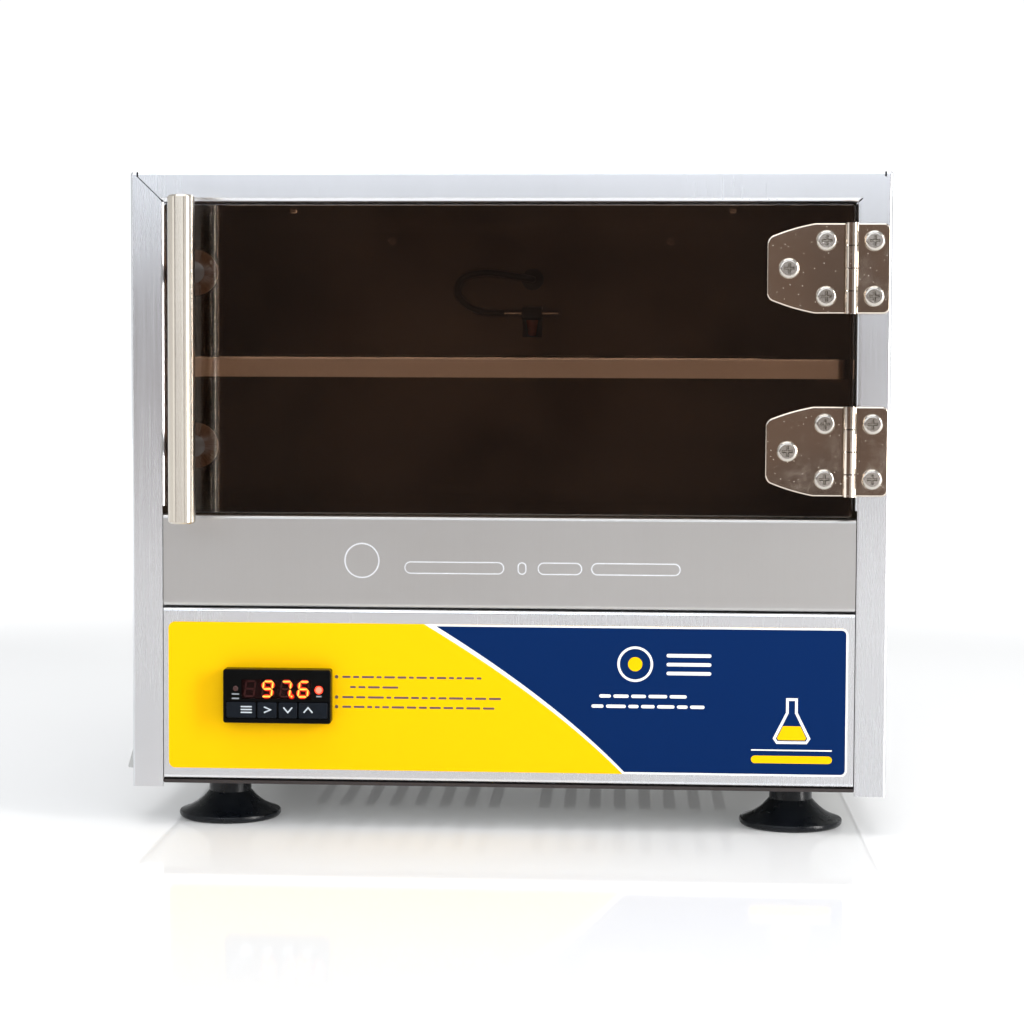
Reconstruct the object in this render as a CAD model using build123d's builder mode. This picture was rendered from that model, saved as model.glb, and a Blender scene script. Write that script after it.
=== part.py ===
# Bench-top laboratory incubator: glass-fronted chamber over a control compartment.
# Units are millimetres. +X is the user's right, +Y runs from the door to the back, +Z is up.
# Positions below are cabinet coordinates: X from the cabinet's middle, Y from its front face,
# Z from the surface that it stands on. CENTRE_X and FRONT_Y carry them into the part's frame,
# whose origin is under the middle of the whole object's box.
import os
from build123d import *

# ---- driving dimensions -------------------------------------------------------------------
WIDTH = 340.0
HEIGHT = 296.4
DEPTH = 300.0
SHEET = 1.2
LINER = 0.8
HALF = WIDTH / 2
SKIRT_Z = 18.0                    # lower edge of the side walls
FLOOR_Z = 19.8                    # underside of the base pan, on the feet
FLANGE_X = 156.0                  # inner edge of the front side flanges
OPENING_X = 154.4                 # half width of the door opening
OPENING_Z0 = 142.9
OPENING_Z1 = 282.4
RETURN_DEPTH = 9.6                # how far the folded edges run back

CHAMBER_X = 152.6                 # half width inside the liner
CHAMBER_Y0 = 10.8
CHAMBER_Y1 = 264.0
CHAMBER_Z0 = 141.4                # top of the perforated floor
CHAMBER_Z1 = 281.4
PLENUM_Z = 113.0                  # bottom of the air space under the perforated floor

LIP_Z0 = 100.6
LIP_Z1 = 142.2
PANEL_Z0 = 21.7
PANEL_Z1 = 100.0
PANEL_HALF = 155.6

GLASS_HALF = 153.9
GLASS_Z0 = 143.0
GLASS_Z1 = 281.9
GLASS_T = 6.0

PIN_X = 151.9                     # hinge pin, in front of the glass's right edge
PIN_Y = -3.4
PIN_R = 1.5
BARREL_R = 3.05
LEAF_T = 1.5
HINGE_HALF = 20.0                 # half height of a hinge
HINGES = {"upper": 253.4, "lower": 172.4}
RUN = 0.3                         # gap between pieces that move past each other
FRAME_SCREW_X = 162.0
FRAME_SCREW_DZ = 12.2
DOOR_SCREWS = ((141.0, -12.3), (141.0, 12.3), (124.6, 0.0))
SCREW_R = 2.2

BAR_X = -141.5
BAR_Y = -30.0
BAR_R = 6.0
BAR_Z0 = 140.3
BAR_Z1 = 284.1
STANDOFF_Z = (173.2, 251.3)
STANDOFF_R = 5.0
HANDLE_SCREW_R = 2.5

CONTROLLER_X = -102.9
CONTROLLER_Z = 60.8
CUTOUT_W = 45.0
CUTOUT_H = 22.2
BEZEL_FRONT = -7.4
OVERLAY_T = 0.4
KEY_Z0 = 51.1
KEY_Z1 = 58.2
KEYS = {"set_key": (-125.7, -112.4), "shift_key": (-111.6, -102.9),
        "down_key": (-102.0, -93.6), "up_key": (-92.9, -79.8)}
KEY_PROUD = 0.5
WINDOW = (-118.8, -87.0, 59.7, 68.5)
LEDS = ((-121.6, 64.3, 1.3), (-83.8, 64.0, 1.7))

FOOT_X = 129.7
FOOT_Y = (28.0, 272.0)
SLOT_COLUMNS = 6
SLOT_PITCH_X = 45.2
SLOT_ROWS_Y = (57.0, 117.0, 177.0, 237.0)
SLOT_L = 31.5
SLOT_W = 5.0

SHELF_HALF = 151.6
SHELF_Y0 = 17.0
SHELF_Y1 = 259.0
SHELF_Z0 = 204.4
SHELF_Z1 = 214.0
SHELF_T = 1.0

SWITCH_Y = 23.0                   # power switch in the left wall
SWITCH_Z = 34.0
SWITCH_OUT = 2.0                  # bezel beyond the wall
ROCKER_TILT = 7.0
ROCKER_OUT = 5.14                 # how far the raised half stands out of the wall

INLET_X = 105.0
INLET_Z = 62.0
FUSE_X = 60.0
FUSE_OUT = 9.0                    # the fuse cap is the rearmost piece

PROBE_Y = 257.0
PROBE_Z = 237.0
CABLE_R = 1.8
CABLE_EXIT = (1.0, 264.0, 255.7)

CENTRE_X = ROCKER_OUT / 2
FRONT_Y = -(DEPTH + FUSE_OUT + BAR_Y - BAR_R) / 2
FAR = 400.0
PHILLIPS_TAPER = 20.0

os.makedirs("parts", exist_ok=True)


def plan(height):
    """Level plane: sketch x is right and sketch y is depth behind the front face."""
    return Plane(origin=(CENTRE_X, FRONT_Y, height), x_dir=(1, 0, 0), z_dir=(0, 0, 1))


def upright(depth):
    """Plane that faces the user: sketch y is height. A positive extrusion comes forward."""
    return Plane(origin=(CENTRE_X, FRONT_Y + depth, 0), x_dir=(1, 0, 0), z_dir=(0, -1, 0))


def flank(across):
    """Plane that faces right: sketch x is depth, sketch y is height."""
    return Plane(origin=(CENTRE_X + across, FRONT_Y, 0), x_dir=(0, 1, 0), z_dir=(1, 0, 0))


def point(x, y, z):
    """A point of the cabinet in the part's frame."""
    return (CENTRE_X + x, FRONT_Y + y, z)


def rect(x0, x1, y0, y1, mode=Mode.ADD):
    with Locations(((x0 + x1) / 2, (y0 + y1) / 2)):
        Rectangle(x1 - x0, y1 - y0, mode=mode)


def block(x0, x1, y0, y1, z0, z1, mode=Mode.ADD):
    """A box between two widths, two depths and two heights."""
    with BuildSketch(plan(z0)) as outline:
        rect(x0, x1, y0, y1)
    extrude(outline.sketch, amount=z1 - z0, mode=mode)


def rod_y(x, z, radius, y0, y1, mode=Mode.ADD):
    """A round rod along the depth, from y0 in front to y1 behind."""
    with BuildSketch(upright(y1)) as outline:
        with Locations((x, z)):
            Circle(radius)
    extrude(outline.sketch, amount=y1 - y0, mode=mode)


def rod_x(y, z, radius, x0, x1, mode=Mode.ADD):
    with BuildSketch(flank(x0)) as outline:
        with Locations((y, z)):
            Circle(radius)
    extrude(outline.sketch, amount=x1 - x0, mode=mode)


def rod_z(x, y, radius, z0, z1, mode=Mode.ADD):
    with BuildSketch(plan(z0)) as outline:
        with Locations((x, y)):
            Circle(radius)
    extrude(outline.sketch, amount=z1 - z0, mode=mode)


def pan_head(x, y, z, outward, head_r=4.6, head_h=2.4, shank_r=SCREW_R, shank_l=9.0):
    """A pan-head screw along Y whose head sits on the face at depth y.
    outward is -1 for a head in front of the face and 1 for one behind it."""
    rod_y(x, z, head_r, *sorted((y, y + outward * head_h)))
    rims = edges(Select.LAST).filter_by(GeomType.CIRCLE).sort_by(Axis.Y)
    fillet(rims[-1] if outward > 0 else rims[0], head_h * 0.6)
    rod_y(x, z, shank_r, *sorted((y, y - outward * shank_l)))
    with BuildSketch(upright(y + outward * head_h)) as cross:
        with Locations((x, z)):
            Rectangle(head_r * 1.0, head_r * 0.26)
            Rectangle(head_r * 0.26, head_r * 1.0)
    extrude(cross.sketch, amount=outward * head_h * 0.5, taper=PHILLIPS_TAPER, mode=Mode.SUBTRACT)


def keep(builder, name):
    builder.part.label = name
    export_step(builder.part, f"parts/{name}.step")


def chamber_slots(z, height):
    """The air slots that the chamber floor and the shelf share."""
    with BuildSketch(plan(z)) as slots:
        for row in SLOT_ROWS_Y:
            with Locations((0, row)):
                with GridLocations(SLOT_PITCH_X, 1, SLOT_COLUMNS, 1):
                    SlotOverall(SLOT_L, SLOT_W)
    extrude(slots.sketch, amount=height, mode=Mode.SUBTRACT)


# ---- outer casing --------------------------------------------------------------------------
REAR_FLANGE = 12.0
BACK_SCREWS = [(s * 161.5, z) for s in (-1, 1) for z in (40.0, 150.0, 262.0)]
BACK_SCREWS += [(x, 288.8) for x in (-100.0, 0.0, 100.0)]
BASE_SCREW_Y = (60.0, 170.0, 280.0)
BASE_SCREW_Z = 29.0
BASE_HEAD_R = 3.5
BASE_HEAD_H = 0.8
CASING_Y1 = DEPTH - SHEET
NOTCH_Z1 = 146.0
FOLD_R = 2.4
MITRE_TOP = (166.8, 294.2)        # the seam stops short of the rounded top edge
MITRE_W = 0.3

with BuildPart() as outer_wrapper:
    block(-HALF, HALF, 0, CASING_Y1, SKIRT_Z, HEIGHT)
    corners = outer_wrapper.edges().filter_by(Axis.Y).group_by(Axis.Z)[-1]
    fillet(corners, 1.5)
    front = outer_wrapper.faces().sort_by(Axis.Y)[0].edges()
    fillet(front.filter_by(lambda e: e.center().Z > SKIRT_Z + 1), 1.4)
    block(-HALF + SHEET, HALF - SHEET, SHEET, CASING_Y1 - SHEET, 0, HEIGHT - SHEET, Mode.SUBTRACT)
    # the open front, narrow below the door and wider beside it
    block(-FLANGE_X, FLANGE_X, -1, SHEET + 1, 0, OPENING_Z0, Mode.SUBTRACT)
    block(-OPENING_X - SHEET, OPENING_X + SHEET, 0, RETURN_DEPTH, NOTCH_Z1, OPENING_Z1 + SHEET)
    block(-OPENING_X, OPENING_X, -1, RETURN_DEPTH + 1, OPENING_Z0 - 1, OPENING_Z1, Mode.SUBTRACT)
    block(-FLANGE_X, FLANGE_X, -1, SHEET + 1, OPENING_Z0 - 1, NOTCH_Z1, Mode.SUBTRACT)
    inner = outer_wrapper.edges().filter_by(
        lambda e: abs(e.center().Y - FRONT_Y) < 0.01 and e.length > 100
        and abs(e.center().X - CENTRE_X) < OPENING_X + 0.1 and e.center().Z < OPENING_Z1 + 0.1
        and e.center().Z > NOTCH_Z1)
    fillet(inner, FOLD_R)
    # the open back between its folded flanges
    block(-HALF + REAR_FLANGE, HALF - REAR_FLANGE, CASING_Y1 - SHEET - 1, CASING_Y1 + 1,
          0, HEIGHT - REAR_FLANGE - SHEET, Mode.SUBTRACT)
    # mitred front corners: a hairline seam with a relief slit at its inner end
    for side in (-1, 1):
        for depth, start, end, width in ((0.6, 0.0, 1.0, MITRE_W), (SHEET + 2, -0.05, 0.2, 0.6)):
            run = (MITRE_TOP[0] - OPENING_X, MITRE_TOP[1] - OPENING_Z1)
            x0, z0 = OPENING_X + run[0] * start, OPENING_Z1 + run[1] * start
            x1, z1 = OPENING_X + run[0] * end, OPENING_Z1 + run[1] * end
            with BuildSketch(upright(depth)) as seam:
                with BuildLine():
                    Polyline((side * x0, z0 - width), (side * x1, z1 - width), (side * x1, z1),
                             (side * x0, z0), close=True)
                make_face()
            extrude(seam.sketch, amount=depth + 1, mode=Mode.SUBTRACT)
    for middle in HINGES.values():
        for sign in (-1, 1):
            rod_y(FRAME_SCREW_X, middle + sign * FRAME_SCREW_DZ, SCREW_R + 0.1,
                  -1, SHEET + 1, Mode.SUBTRACT)
    for x, z in BACK_SCREWS:
        rod_y(x, z, 1.75, CASING_Y1 - 3, CASING_Y1 + 1, Mode.SUBTRACT)
    for y in BASE_SCREW_Y:
        rod_x(y, BASE_SCREW_Z, 1.75, -FAR, FAR, Mode.SUBTRACT)
        rod_x(y, BASE_SCREW_Z, BASE_HEAD_R + 0.1, HALF - BASE_HEAD_H, FAR, Mode.SUBTRACT)
        rod_x(y, BASE_SCREW_Z, BASE_HEAD_R + 0.1, -FAR, -HALF + BASE_HEAD_H, Mode.SUBTRACT)
    block(-HALF - 1, -HALF + SHEET + 1, SWITCH_Y - 9.3, SWITCH_Y + 9.3,
          SWITCH_Z - 12.6, SWITCH_Z + 12.6, Mode.SUBTRACT)
keep(outer_wrapper, "outer_wrapper")

with BuildPart() as back_panel:
    block(-166, 166, CASING_Y1, DEPTH, 22.0, 293.0)
    fillet(back_panel.edges().filter_by(Axis.Y), 3.0)
    for x, z in BACK_SCREWS:
        rod_y(x, z, 1.75, CASING_Y1 - 1, DEPTH + 1, Mode.SUBTRACT)
    block(INLET_X - 13.8, INLET_X + 13.8, CASING_Y1 - 1, DEPTH + 1,
          INLET_Z - 10.2, INLET_Z + 10.2, Mode.SUBTRACT)
    for side in (-1, 1):
        rod_y(INLET_X + side * 20.0, INLET_Z, 1.75, CASING_Y1 - 1, DEPTH + 1, Mode.SUBTRACT)
    rod_y(FUSE_X, INLET_Z, 6.2, CASING_Y1 - 1, DEPTH + 1, Mode.SUBTRACT)
    with BuildSketch(upright(DEPTH + 1)):
        with Locations((-78, 84)):
            with GridLocations(9, 1, 12, 1):
                SlotOverall(26, 3.6, rotation=90)
    extrude(amount=4, mode=Mode.SUBTRACT)
keep(back_panel, "back_panel")

with BuildPart() as back_panel_screws:
    for x, z in BACK_SCREWS:
        pan_head(x, DEPTH, z, 1, head_r=3.4, head_h=2.0, shank_r=1.6, shank_l=7.0)
keep(back_panel_screws, "back_panel_screws")

# ---- base pan with its air slots -----------------------------------------------------------
PAN_T = 1.5
PAN_HALF = HALF - SHEET - 0.4
with BuildPart() as base_pan:
    block(-PAN_HALF, PAN_HALF, 2.0, CASING_Y1 - SHEET - 0.4, FLOOR_Z, FLOOR_Z + PAN_T)
    block(-PANEL_HALF, PANEL_HALF, 0.2, 2.0, FLOOR_Z, FLOOR_Z + PAN_T)
    for side in (-1, 1):
        inner_x, outer_x = sorted((side * PAN_HALF, side * (PAN_HALF - SHEET)))
        block(inner_x, outer_x, 45, 290, FLOOR_Z, 38)
    for y in BASE_SCREW_Y:
        rod_x(y, BASE_SCREW_Z, 1.75, -FAR, FAR, Mode.SUBTRACT)
    for x in (-FOOT_X, FOOT_X):
        for y in FOOT_Y:
            rod_z(x, y, 2.6, 0, 30, Mode.SUBTRACT)
    with BuildSketch(plan(0)):
        for x in (-59.5, 57.5):
            for y in (87, 197):
                with Locations((x, y)):
                    with GridLocations(13, 1, 8, 1):
                        SlotOverall(74, 6, rotation=90)
    extrude(amount=30, mode=Mode.SUBTRACT)
keep(base_pan, "base_pan")

with BuildPart() as base_screws:
    for side in (-1, 1):
        for y in BASE_SCREW_Y:
            head = sorted((side * HALF, side * (HALF - BASE_HEAD_H)))
            shank = sorted((side * (HALF - BASE_HEAD_H), side * (HALF - 7)))
            rod_x(y, BASE_SCREW_Z, BASE_HEAD_R, *head)
            rod_x(y, BASE_SCREW_Z, 1.6, *shank)
            slot = sorted((side * (HALF - 0.4), side * (HALF + 1)))
            block(*slot, y - 2.4, y + 2.4, BASE_SCREW_Z - 0.5, BASE_SCREW_Z + 0.5, Mode.SUBTRACT)
            block(*slot, y - 0.5, y + 0.5, BASE_SCREW_Z - 2.4, BASE_SCREW_Z + 2.4, Mode.SUBTRACT)
keep(base_screws, "base_screws")

with BuildPart() as feet:
    for x in (-FOOT_X, FOOT_X):
        for y in FOOT_Y:
            with BuildSketch(flank(x)):
                with BuildLine():
                    Line((y, 0), (y + 21.6, 0))
                    ThreePointArc((y + 21.6, 0), (y + 23.3, 1.1), (y + 23.2, 3.0))
                    ThreePointArc((y + 23.2, 3.0), (y + 15.6, 6.6), (y + 9.8, 12.2))
                    Line((y + 9.8, 12.2), (y + 9.7, FLOOR_Z))
                    Line((y + 9.7, FLOOR_Z), (y, FLOOR_Z))
                    Line((y, FLOOR_Z), (y, 0))
                make_face()
            revolve(axis=Axis(point(x, y, 0), (0, 0, 1)))
            rod_z(x, y, 2.5, 8, FLOOR_Z, Mode.SUBTRACT)
            rod_z(x, y, 14, -1, 1.2, Mode.SUBTRACT)
keep(feet, "feet")

with BuildPart() as foot_screws:
    for x in (-FOOT_X, FOOT_X):
        for y in FOOT_Y:
            rod_z(x, y, 2.5, 8, FLOOR_Z + PAN_T)
            rod_z(x, y, 4.6, FLOOR_Z + PAN_T, FLOOR_Z + PAN_T + 3)
keep(foot_screws, "foot_screws")


# ---- front panels --------------------------------------------------------------------------
def folded_panel(z0, z1):
    """A sheet with its top and bottom edges folded back."""
    block(-PANEL_HALF, PANEL_HALF, 0, RETURN_DEPTH, z0, z1)
    long_edges = edges(Select.LAST).filter_by(Axis.X).group_by(Axis.Y)[0]
    fillet(long_edges, 1.8)
    block(-FAR, FAR, SHEET, RETURN_DEPTH + 1, z0 + SHEET, z1 - SHEET, Mode.SUBTRACT)


with BuildPart() as front_lip_panel:
    folded_panel(LIP_Z0, LIP_Z1)
keep(front_lip_panel, "front_lip_panel")

with BuildPart() as control_panel:
    folded_panel(PANEL_Z0, PANEL_Z1)
    block(CONTROLLER_X - CUTOUT_W / 2, CONTROLLER_X + CUTOUT_W / 2, -1, SHEET + 1,
          CONTROLLER_Z - CUTOUT_H / 2, CONTROLLER_Z + CUTOUT_H / 2, Mode.SUBTRACT)
keep(control_panel, "control_panel")

with BuildPart() as graphic_overlay:
    block(-153.3, 152.7, -OVERLAY_T, 0, 26.8, 93.5)
    fillet(graphic_overlay.edges().filter_by(Axis.Y), 3.0)
    block(CONTROLLER_X - CUTOUT_W / 2, CONTROLLER_X + CUTOUT_W / 2, -1, 1,
          CONTROLLER_Z - CUTOUT_H / 2, CONTROLLER_Z + CUTOUT_H / 2, Mode.SUBTRACT)
keep(graphic_overlay, "graphic_overlay")

# ---- temperature controller ----------------------------------------------------------------
BEZEL_W = 48.8
BEZEL_H = 24.4
KEY_DEPTH = 3.0
KEY_GAP = 0.3
with BuildPart() as controller_housing:
    block(CONTROLLER_X - BEZEL_W / 2, CONTROLLER_X + BEZEL_W / 2, BEZEL_FRONT, -OVERLAY_T,
          CONTROLLER_Z - BEZEL_H / 2, CONTROLLER_Z + BEZEL_H / 2)
    fillet(controller_housing.edges().filter_by(Axis.Y), 1.2)
    fillet(controller_housing.faces().sort_by(Axis.Y)[0].edges(), 0.7)
    block(CONTROLLER_X - 22.2, CONTROLLER_X + 22.2, -OVERLAY_T, 92,
          CONTROLLER_Z - 10.8, CONTROLLER_Z + 10.8)
    block(WINDOW[0], WINDOW[1], BEZEL_FRONT - 1, BEZEL_FRONT + 4, WINDOW[2], WINDOW[3],
          Mode.SUBTRACT)
    for x, z, radius in LEDS:
        rod_y(x, z, radius, BEZEL_FRONT - 1, BEZEL_FRONT + 3, Mode.SUBTRACT)
    for x0, x1 in KEYS.values():
        block(x0 - KEY_GAP, x1 + KEY_GAP, BEZEL_FRONT - 1, BEZEL_FRONT + KEY_DEPTH + 1,
              KEY_Z0 - KEY_GAP, KEY_Z1 + KEY_GAP, Mode.SUBTRACT)
keep(controller_housing, "controller_housing")

with BuildPart() as controller_clamp:
    block(CONTROLLER_X - 28, CONTROLLER_X + 28, SHEET, 14, CONTROLLER_Z - 15, CONTROLLER_Z + 15)
    fillet(controller_clamp.edges().filter_by(Axis.Y), 0.8)
    block(CONTROLLER_X - 22.2, CONTROLLER_X + 22.2, 0, 20,
          CONTROLLER_Z - 10.8, CONTROLLER_Z + 10.8, Mode.SUBTRACT)
keep(controller_clamp, "controller_clamp")

with BuildPart() as display_window:
    block(WINDOW[0], WINDOW[1], BEZEL_FRONT + 0.1, BEZEL_FRONT + 0.9, WINDOW[2], WINDOW[3])
keep(display_window, "display_window")

with BuildPart() as display_module:
    block(WINDOW[0], WINDOW[1], BEZEL_FRONT + 1.3, BEZEL_FRONT + 4, WINDOW[2], WINDOW[3])
keep(display_module, "display_module")

with BuildPart() as status_leds:
    for x, z, radius in LEDS:
        rod_y(x, z, radius, BEZEL_FRONT - 0.2, BEZEL_FRONT + 3)
    fillet(status_leds.faces().group_by(Axis.Y)[0].edges(), 0.5)
keep(status_leds, "status_leds")

for key_name, (x0, x1) in KEYS.items():
    with BuildPart() as key:
        block(x0, x1, BEZEL_FRONT - KEY_PROUD, BEZEL_FRONT + KEY_DEPTH, KEY_Z0, KEY_Z1)
        fillet(key.edges().filter_by(Axis.Y), 0.5)
        fillet(key.faces().sort_by(Axis.Y)[0].edges(), 0.3)
    keep(key, key_name)

# ---- inner chamber -------------------------------------------------------------------------
LINER_FRONT = 9.8
for liner_name, side in (("liner_left", -1), ("liner_right", 1)):
    with BuildPart() as liner_side:
        wall = sorted((side * CHAMBER_X, side * (CHAMBER_X + LINER)))
        rim = sorted((side * CHAMBER_X, side * (OPENING_X - 0.2)))
        block(*wall, LINER_FRONT, CHAMBER_Y1, PLENUM_Z, CHAMBER_Z1)
        block(*rim, LINER_FRONT, LINER_FRONT + LINER, NOTCH_Z1, CHAMBER_Z1)
    keep(liner_side, liner_name)

CEILING_SCREWS = ((-102.0, 46.0), (102.0, 46.0))
BACK_DOTS = ((-77.0, 277.0), (77.0, 277.0))
LINER_SCREW_R = 1.5
with BuildPart() as liner_ceiling:
    block(-CHAMBER_X - LINER, CHAMBER_X + LINER, LINER_FRONT, CHAMBER_Y1,
          CHAMBER_Z1, CHAMBER_Z1 + LINER)
    for x, y in CEILING_SCREWS:
        rod_z(x, y, LINER_SCREW_R, CHAMBER_Z1 - 1, CHAMBER_Z1 + 2, Mode.SUBTRACT)
keep(liner_ceiling, "liner_ceiling")

with BuildPart() as liner_back:
    block(-CHAMBER_X - LINER, CHAMBER_X + LINER, CHAMBER_Y1, CHAMBER_Y1 + LINER,
          PLENUM_Z - LINER, CHAMBER_Z1 + LINER)
    rod_y(CABLE_EXIT[0], CABLE_EXIT[2], 4.0, CHAMBER_Y1 - 1, CHAMBER_Y1 + 2, Mode.SUBTRACT)
    for x, z in BACK_DOTS:
        rod_y(x, z, LINER_SCREW_R, CHAMBER_Y1 - 1, CHAMBER_Y1 + 2, Mode.SUBTRACT)
    rod_y(1.0, 228.0, LINER_SCREW_R, CHAMBER_Y1 - 1, CHAMBER_Y1 + 2, Mode.SUBTRACT)
keep(liner_back, "liner_back")

PAN_FRONT = CHAMBER_Y0
with BuildPart() as plenum_pan:
    block(-CHAMBER_X - LINER, CHAMBER_X + LINER, PAN_FRONT, CHAMBER_Y1, PLENUM_Z - LINER, PLENUM_Z)
    block(-CHAMBER_X, CHAMBER_X, PAN_FRONT, PAN_FRONT + LINER, PLENUM_Z, CHAMBER_Z0 - 1)
keep(plenum_pan, "plenum_pan")

with BuildPart() as chamber_floor:
    block(-CHAMBER_X, CHAMBER_X, PAN_FRONT, CHAMBER_Y1, CHAMBER_Z0 - 1, CHAMBER_Z0)
    chamber_slots(CHAMBER_Z0 - 2, 3)
keep(chamber_floor, "chamber_floor")

with BuildPart() as liner_screws:
    for x, y in CEILING_SCREWS:
        rod_z(x, y, LINER_SCREW_R, CHAMBER_Z1, CHAMBER_Z1 + 6)
        rod_z(x, y, 2.8, CHAMBER_Z1 - 1.8, CHAMBER_Z1)
    heads = liner_screws.faces().group_by(Axis.Z)[0].edges()
    fillet(heads, 0.9)
    for x, z in BACK_DOTS:
        pan_head(x, CHAMBER_Y1, z, -1, head_r=2.8, head_h=1.8, shank_r=LINER_SCREW_R, shank_l=6)
keep(liner_screws, "liner_screws")

with BuildPart() as insulation:
    gap_x = HALF - SHEET - 0.3
    liner_x = CHAMBER_X + LINER + 0.2
    gap_top = HEIGHT - SHEET - 0.3
    liner_top = CHAMBER_Z1 + LINER + 6.2
    for side in (-1, 1):
        slab = sorted((side * liner_x, side * gap_x))
        block(*slab, 12, CHAMBER_Y1, 102, liner_top)
    block(-gap_x, gap_x, 12, CHAMBER_Y1, liner_top, gap_top)
    block(-gap_x, gap_x, CHAMBER_Y1 + LINER + 6.5, CASING_Y1 - 12, 102, gap_top)
    block(-liner_x + 0.2, liner_x - 0.2, 12, CHAMBER_Y1, 102, PLENUM_Z - LINER - 0.2)
keep(insulation, "insulation")

# tubular element, bent into a serpentine under the perforated floor
ELEMENT_R = 3.25
ELEMENT_Z = 127.0
ELEMENT_X = 120.0
ELEMENT_ROWS = (60.0, 110.0, 160.0, 210.0)
with BuildPart() as heating_element:
    with BuildLine() as element_path:
        element_points = [(-ELEMENT_X, CHAMBER_Y1)]
        for number, row in enumerate(reversed(ELEMENT_ROWS)):
            ends = (-ELEMENT_X, ELEMENT_X) if number % 2 == 0 else (ELEMENT_X, -ELEMENT_X)
            element_points += [(ends[0], row), (ends[1], row)]
        element_points[-1] = (-ELEMENT_X - 20, ELEMENT_ROWS[0])
        element_points += [(-ELEMENT_X - 20, CHAMBER_Y1)]
        FilletPolyline(*[point(x, y, ELEMENT_Z) for x, y in element_points], radius=9.5)
    start = Plane(origin=point(*element_points[0], ELEMENT_Z), z_dir=(0, -1, 0))
    with BuildSketch(start):
        Circle(ELEMENT_R)
    sweep(path=element_path.wires()[0])
keep(heating_element, "heating_element")

with BuildPart() as element_brackets:
    for x in (-60.0, 60.0):
        block(x - 6, x + 6, 50, 220, PLENUM_Z, PLENUM_Z + 1.5)
        for row in ELEMENT_ROWS:
            block(x - 6, x + 6, row - 1, row + 1, PLENUM_Z, ELEMENT_Z - ELEMENT_R)
keep(element_brackets, "element_brackets")

# ---- shelf and its ledges ------------------------------------------------------------------
with BuildPart() as shelf:
    block(-SHELF_HALF, SHELF_HALF, SHELF_Y0, SHELF_Y1, SHELF_Z0, SHELF_Z1)
    fillet(shelf.edges().filter_by(Axis.Z), 4.0)
    fillet(shelf.faces().sort_by(Axis.Z)[-1].edges(), 1.5)
    block(-SHELF_HALF + SHELF_T, SHELF_HALF - SHELF_T, SHELF_Y0 + SHELF_T, SHELF_Y1 - SHELF_T,
          SHELF_Z0 - 1, SHELF_Z1 - SHELF_T, Mode.SUBTRACT)
    chamber_slots(SHELF_Z0, 20)
keep(shelf, "shelf")

LEDGE_Z = SHELF_Z0 - RUN
with BuildPart() as shelf_ledges:
    for side in (-1, 1):
        ledge = sorted((side * CHAMBER_X, side * 143.5))
        upstand = sorted((side * CHAMBER_X, side * (CHAMBER_X - LINER)))
        block(*ledge, 24, 252, LEDGE_Z - 1.2, LEDGE_Z)
        block(*upstand, 24, 252, LEDGE_Z - 12, LEDGE_Z)
keep(shelf_ledges, "shelf_ledges")

# ---- temperature probe ---------------------------------------------------------------------
with BuildPart() as cable_grommet:
    rod_y(CABLE_EXIT[0], CABLE_EXIT[2], 6.0, CHAMBER_Y1 - 1.0, CHAMBER_Y1)
    rod_y(CABLE_EXIT[0], CABLE_EXIT[2], 3.9, CHAMBER_Y1, CHAMBER_Y1 + LINER)
    rod_y(CABLE_EXIT[0], CABLE_EXIT[2], 6.0, CHAMBER_Y1 + LINER, CHAMBER_Y1 + LINER + 1.6)
    rod_y(CABLE_EXIT[0], CABLE_EXIT[2], CABLE_R + 0.05, 200, 300, Mode.SUBTRACT)
keep(cable_grommet, "cable_grommet")

CABLE_ROUTE = [(1.0, 270.5, 255.7), (1.0, 256.6, 255.7), (-12.0, 254.6, 258.0),
               (-26.0, 255.0, 259.8), (-38.4, 255.6, 256.6), (-41.4, 256.2, 248.2),
               (-34.6, 256.7, 240.4), (-25.0, PROBE_Y, PROBE_Z), (-14.6, PROBE_Y, PROBE_Z)]


def bend_radii(route):
    """The largest tangent arc at each corner that leaves a short straight on both sides."""
    points = [Vector(*p) for p in route]
    radii = []
    for before, corner, after in zip(points, points[1:], points[2:]):
        turn = (corner - before).get_angle(after - corner)
        shorter = min((corner - before).length, (after - corner).length)
        half_turn = Vector(1, 0, 0).rotate(Axis.Z, turn / 2)
        radii.append(0.45 * shorter * half_turn.X / half_turn.Y)
    return radii


cable_radii = bend_radii(CABLE_ROUTE)
print("probe cable bend radii:", [round(r, 1) for r in cable_radii])
with BuildPart() as probe_cable:
    with BuildLine() as cable_path:
        FilletPolyline(*[point(*p) for p in CABLE_ROUTE], radius=cable_radii)
    with BuildSketch(Plane(origin=point(*CABLE_ROUTE[0]), z_dir=cable_path.wires()[0] % 0)):
        Circle(CABLE_R)
    sweep(path=cable_path.wires()[0])
keep(probe_cable, "probe_cable")
print("probe cable length:", round(cable_path.wires()[0].length, 1), "volume ratio:",
      round(probe_cable.part.volume / (3.14159 * CABLE_R ** 2 * cable_path.wires()[0].length), 4))

with BuildPart() as temperature_probe:
    rod_x(PROBE_Y, PROBE_Z, 2.0, -14.6, 16.3)
    fillet(temperature_probe.faces().sort_by(Axis.X)[-1].edges(), 1.2)
keep(temperature_probe, "temperature_probe")

with BuildPart() as probe_clip:
    block(-4.4, 6.4, PROBE_Y - 4, CHAMBER_Y1, 233.2, 240.6)
    fillet(probe_clip.edges().filter_by(Axis.X).group_by(Axis.Y)[0], 2.0)
    block(-4.4, 6.4, CHAMBER_Y1 - 2, CHAMBER_Y1, 224.0, 233.2)
    rod_x(PROBE_Y, PROBE_Z, 2.0, -10, 12, Mode.SUBTRACT)
    rod_y(1.0, 228.0, LINER_SCREW_R, 200, 300, Mode.SUBTRACT)
keep(probe_clip, "probe_clip")

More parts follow.
